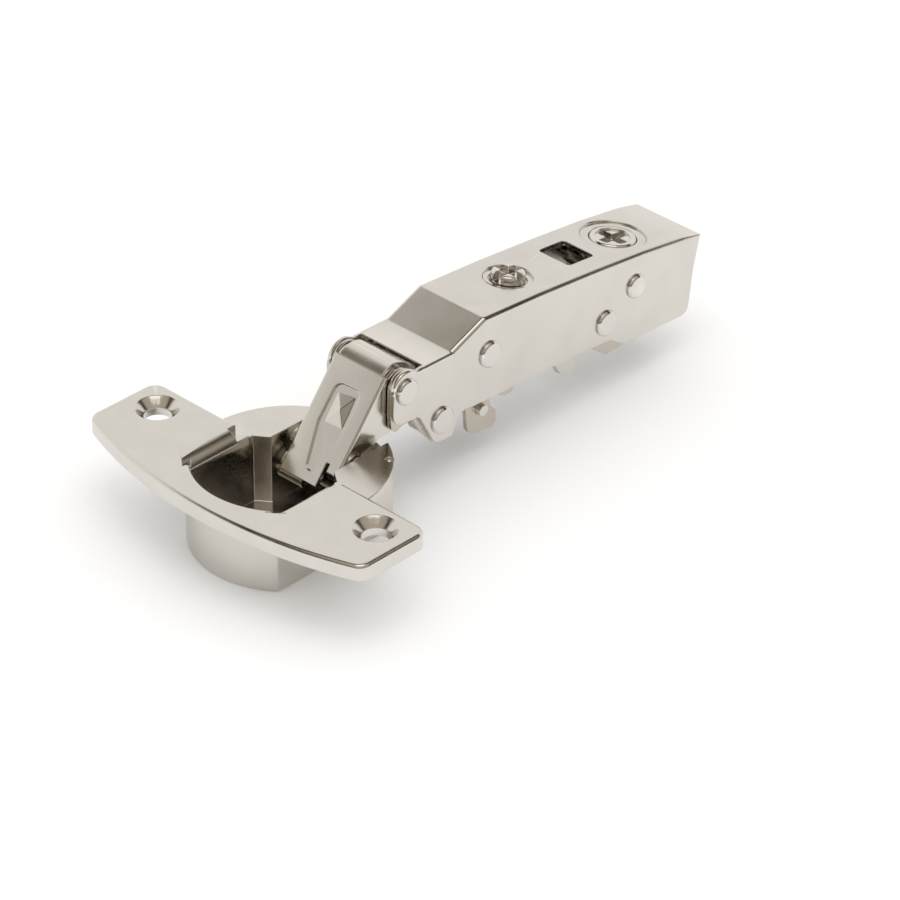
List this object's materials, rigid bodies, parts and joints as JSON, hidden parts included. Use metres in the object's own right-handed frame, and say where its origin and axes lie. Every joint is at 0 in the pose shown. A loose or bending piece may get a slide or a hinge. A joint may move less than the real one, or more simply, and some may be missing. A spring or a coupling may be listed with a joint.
{
  "type": "concealed cup hinge",
  "caption": "Concealed cabinet hinge: a bored cup with a winged flange, folding links and a clip-on arm with overlay and depth adjusters.",
  "frame": {"origin": "centre of the cup's axis on the flange's upper face", "axes": "+X from the cup towards the arm and the door's edge, +Y along the door's edge, +Z out of the door; the door stands open at about 97 degrees at rest"},
  "size_m": [0.1144, 0.0652, 0.0295],
  "materials": {
    "satin_nickel": "satin nickel-plated steel",
    "dark_steel": "plain plated steel inside the arm",
    "bright_steel": "polished rivets, pins and screws"
  },
  "bodies": {
    "cup": {"cup": "satin_nickel", "outer_link_pin": "bright_steel", "inner_link_pin": "bright_steel"},
    "outer_link": {"outer_link": "satin_nickel"},
    "inner_link": {"inner_link": "dark_steel"},
    "arm": {"arm_shell": "satin_nickel", "arm_liner": "dark_steel", "front_rivet": "bright_steel", "link_rivet": "bright_steel", "spring_rivet": "bright_steel", "middle_rivet": "bright_steel", "rear_rivet": "bright_steel", "closing_spring": "dark_steel"},
    "overlay_screw": {"overlay_screw": "bright_steel"},
    "depth_cam": {"depth_cam": "bright_steel"},
    "cam_block": {"cam_block": "dark_steel", "cam_axle": "bright_steel"},
    "carrier": {"carrier": "dark_steel", "hook_axle": "bright_steel", "latch_pin": "bright_steel", "latch_spring": "dark_steel"},
    "latch_lever": {"latch_lever": "satin_nickel"}
  },
  "joints": [
    {"name": "door_swing", "type": "hinge", "parent": "cup", "child": "outer_link", "pos_m": [0.0077, 0, -0.0083], "axis": [0, -1, 0], "range_deg": [-12.1, 94.7]},
    {"name": "arm_fold", "type": "hinge", "parent": "outer_link", "child": "arm", "pos_m": [0.01982, 0, 0.00684], "axis": [0, -1, 0], "range_deg": [-0.4, 2.9]},
    {"name": "inner_swing", "type": "hinge", "parent": "cup", "child": "inner_link", "pos_m": [0.0099, 0, -0.00475], "axis": [0, -1, 0], "range_deg": [-14.7, 114.3]},
    {"name": "overlay_turn", "type": "hinge", "parent": "arm", "child": "overlay_screw", "pos_m": [0.05239, 0, 0.01068], "axis": [0.1288, 0, 0.9917], "range_deg": [-340, 340]},
    {"name": "depth_turn", "type": "hinge", "parent": "arm", "child": "depth_cam", "pos_m": [0.07886, 0, 0.00724], "axis": [0.1288, 0, 0.9917], "range_deg": [-140, 140]},
    {"name": "block_slide", "type": "slide", "parent": "arm", "child": "cam_block", "axis": [0.9917, 0, -0.1288], "range_m": [-0.002, 0.002]},
    {"name": "carrier_tilt", "type": "hinge", "parent": "cam_block", "child": "carrier", "pos_m": [0.08348, 0, 0.00008], "axis": [0, 1, 0], "range_deg": [-2.5, 2.5]},
    {"name": "latch_swing", "type": "hinge", "parent": "carrier", "child": "latch_lever", "pos_m": [0.07689, 0, -0.0041], "axis": [0, 1, 0], "range_deg": [0, 9], "stiffness_Nm_per_rad": 0.05, "springref_deg": -5.73}
  ],
  "couplings": [
    {"joint": "arm_fold", "follows": "door_swing", "ratio": 0.03},
    {"joint": "inner_swing", "follows": "door_swing", "ratio": 1.2055},
    {"joint": "depth_turn", "follows": "block_slide", "rad_per_m": -1221.7},
    {"joint": "overlay_turn", "follows": "carrier_tilt", "ratio": 135.9}
  ]
}
